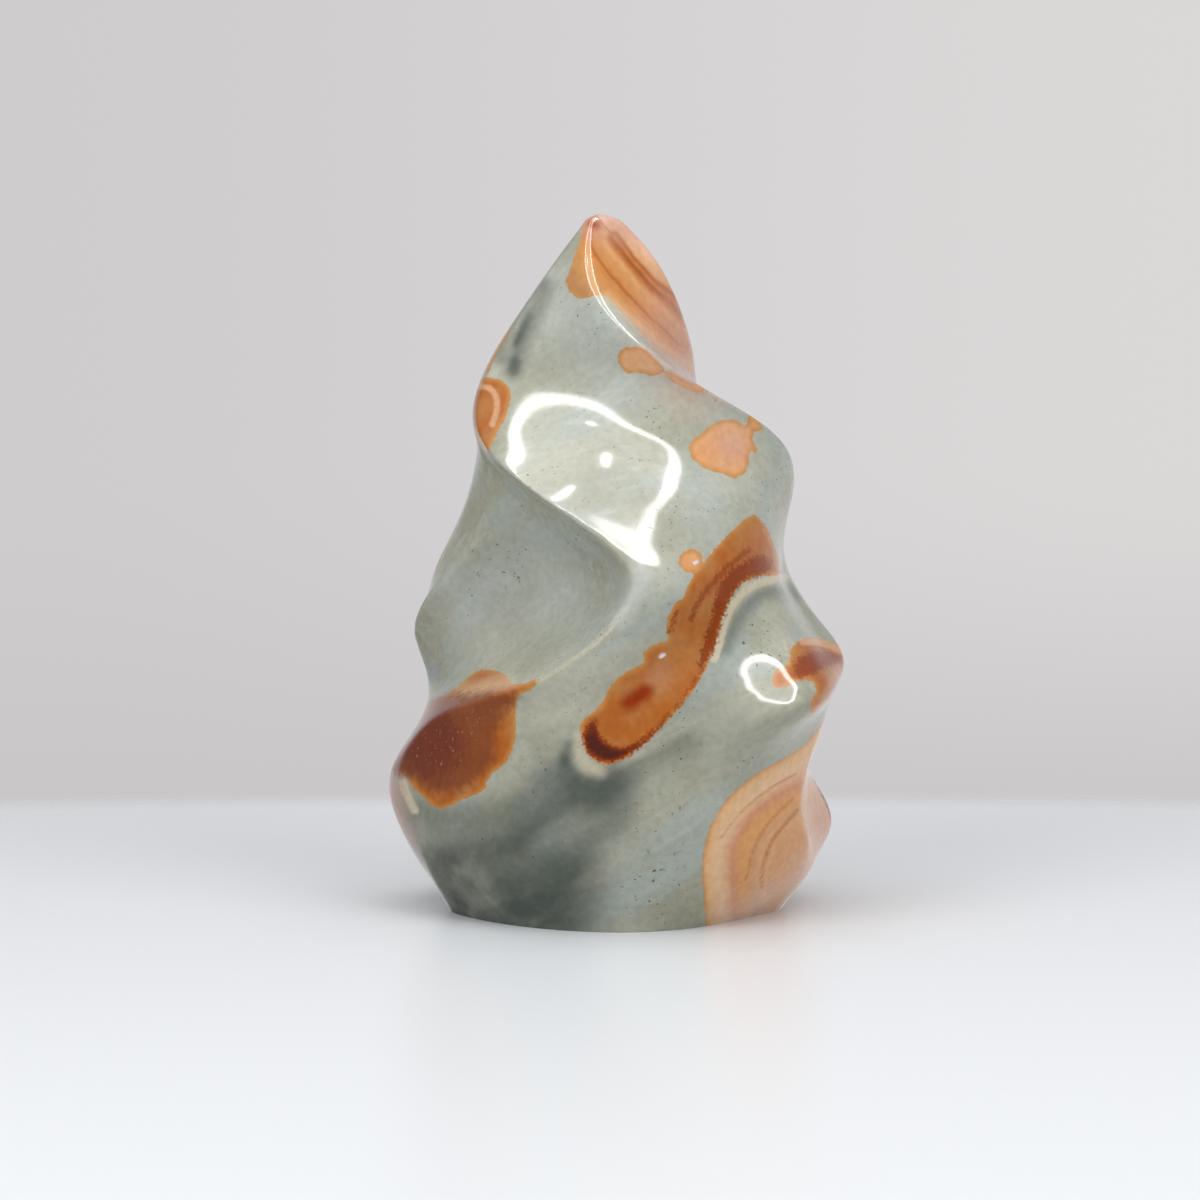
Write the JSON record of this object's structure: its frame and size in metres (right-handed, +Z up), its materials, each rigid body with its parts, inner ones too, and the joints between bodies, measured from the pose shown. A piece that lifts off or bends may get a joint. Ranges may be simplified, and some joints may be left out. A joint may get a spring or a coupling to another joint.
{
  "type": "flame carving",
  "caption": "Polished stone ornament carved as a twisting flame, with sharp curling ridges, scooped faces and a pointed tip, standing on a small flat base",
  "frame": {"origin": "on the flat base, under the middle of the stone, with the base in the plane Z = 0", "axes": "+Z points up to the tip, -Y is the front that faces the viewer, +X is the viewer's right"},
  "size_m": [0.0794, 0.0736, 0.1208],
  "materials": {
    "jasper": "polished"
  },
  "bodies": {
    "root": {"flame_carving": "jasper"}
  },
  "joints": []
}
